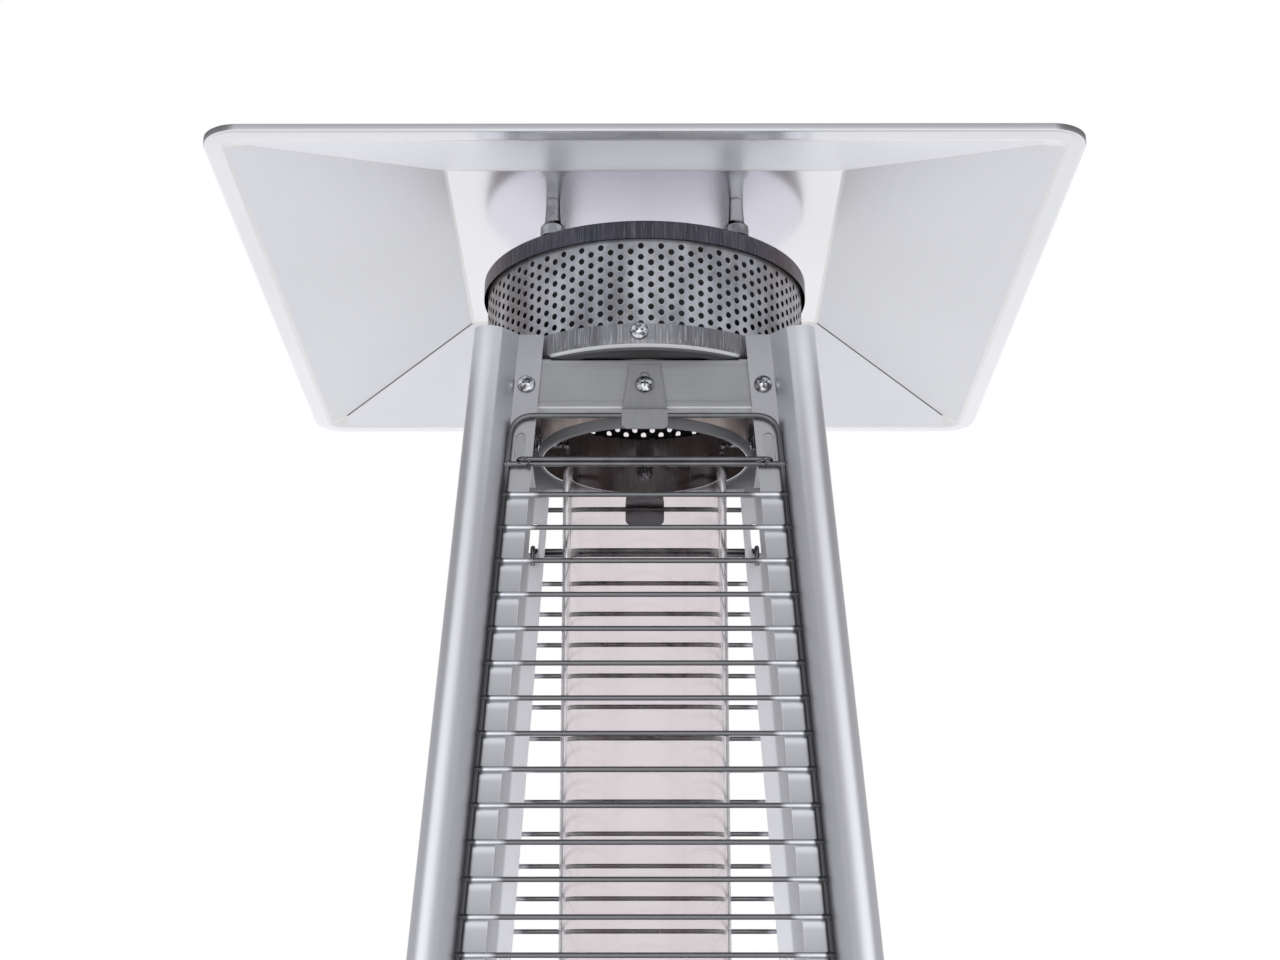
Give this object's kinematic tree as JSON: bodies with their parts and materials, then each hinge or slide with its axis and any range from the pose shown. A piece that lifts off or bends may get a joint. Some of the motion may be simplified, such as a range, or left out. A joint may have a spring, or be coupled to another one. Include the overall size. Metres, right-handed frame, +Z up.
{
  "type": "pyramid patio heater",
  "caption": "Free-standing gas patio heater: four leaning posts round a glass flame tube with wire guards, a pierced burner head under a square hood, and a cylinder housing with a door below.",
  "frame": {"origin": "on the floor, under the middle of the footprint", "axes": "+Z up; the door, knob and igniter face -Y; +X to the right seen from the front"},
  "size_m": [0.504, 0.504, 2.2661],
  "materials": {
    "stainless": "polished to satin stainless steel sheet",
    "heated_steel": "stainless steel darkened by heat, fine brush marks",
    "grey_steel": "matt grey sheet steel",
    "post_aluminium": "satin anodised extrusion",
    "chromed": "bright chromed wire",
    "flame_glass": "clear heat-proof glass",
    "rubber": "black moulded rubber",
    "black_plastic": "black moulded plastic",
    "brass": "machined brass"
  },
  "bodies": {
    "frame": {"base_tray": "stainless", "foot_front_left": "rubber", "foot_front_right": "rubber", "foot_back_right": "rubber", "foot_back_left": "rubber", "wheel_axle": "grey_steel", "cylinder_ring": "grey_steel", "lower_post_front_left": "post_aluminium", "lower_post_front_right": "post_aluminium", "lower_post_back_right": "post_aluminium", "lower_post_back_left": "post_aluminium", "right_panel": "stainless", "back_panel": "stainless", "left_panel": "stainless", "control_panel": "stainless", "door_hinge_lower": "grey_steel", "door_hinge_upper": "grey_steel", "door_magnet": "grey_steel", "gas_valve": "brass", "igniter_body": "black_plastic", "gas_pipe": "brass", "burner": "grey_steel", "pilot_bracket": "stainless", "tilt_switch": "black_plastic", "deck_plate": "stainless", "glass_seat": "grey_steel", "glass_tube": "flame_glass", "upper_post_front_left": "post_aluminium", "upper_post_front_right": "post_aluminium", "upper_post_back_right": "post_aluminium", "upper_post_back_left": "post_aluminium", "crossbar_front": "grey_steel", "crossbar_right": "grey_steel", "crossbar_back": "grey_steel", "crossbar_left": "grey_steel", "wire_guard_front": "chromed", "wire_guard_right": "chromed", "wire_guard_back": "chromed", "wire_guard_left": "chromed", "guard_clip_front": "grey_steel", "guard_clip_right": "grey_steel", "guard_clip_back": "grey_steel", "guard_clip_left": "grey_steel", "head_pan": "heated_steel", "flame_screen": "heated_steel", "head_cap": "heated_steel", "hood_spacer_front_left": "stainless", "hood_spacer_front_right": "stainless", "hood_spacer_back_right": "stainless", "hood_spacer_back_left": "stainless", "hood": "stainless"},
    "door": {"door_panel": "stainless", "door_handle": "chromed"},
    "stem": {"valve_stem": "brass"},
    "knob": {"control_knob": "black_plastic"},
    "button": {"igniter_button": "black_plastic"},
    "left_wheel": {"wheel_left": "rubber"},
    "right_wheel": {"wheel_right": "rubber"}
  },
  "joints": [
    {"name": "door_hinge", "type": "hinge", "parent": "frame", "child": "door", "pos_m": [-0.19868, -0.21768, 0.4], "axis": [-0.07, -0.07, -0.9951], "range_deg": [0, 110]},
    {"name": "stem_turn", "type": "hinge", "parent": "frame", "child": "stem", "pos_m": [0.042, -0.19135, 0.786], "axis": [0, -0.9975, 0.0701], "range_deg": [0, 210]},
    {"name": "knob_push", "type": "slide", "parent": "stem", "child": "knob", "axis": [0, 0.9975, -0.0701], "range_m": [0, 0.004], "stiffness_N_per_m": 800},
    {"name": "igniter_push", "type": "slide", "parent": "frame", "child": "button", "axis": [0, 0.9975, -0.0701], "range_m": [0, 0.005], "stiffness_N_per_m": 600},
    {"name": "left_wheel_spin", "type": "hinge", "parent": "frame", "child": "left_wheel", "pos_m": [-0.18, 0.224, 0.027], "axis": [1, 0, 0], "continuous": true},
    {"name": "right_wheel_spin", "type": "hinge", "parent": "frame", "child": "right_wheel", "pos_m": [0.18, 0.224, 0.027], "axis": [1, 0, 0], "continuous": true}
  ]
}
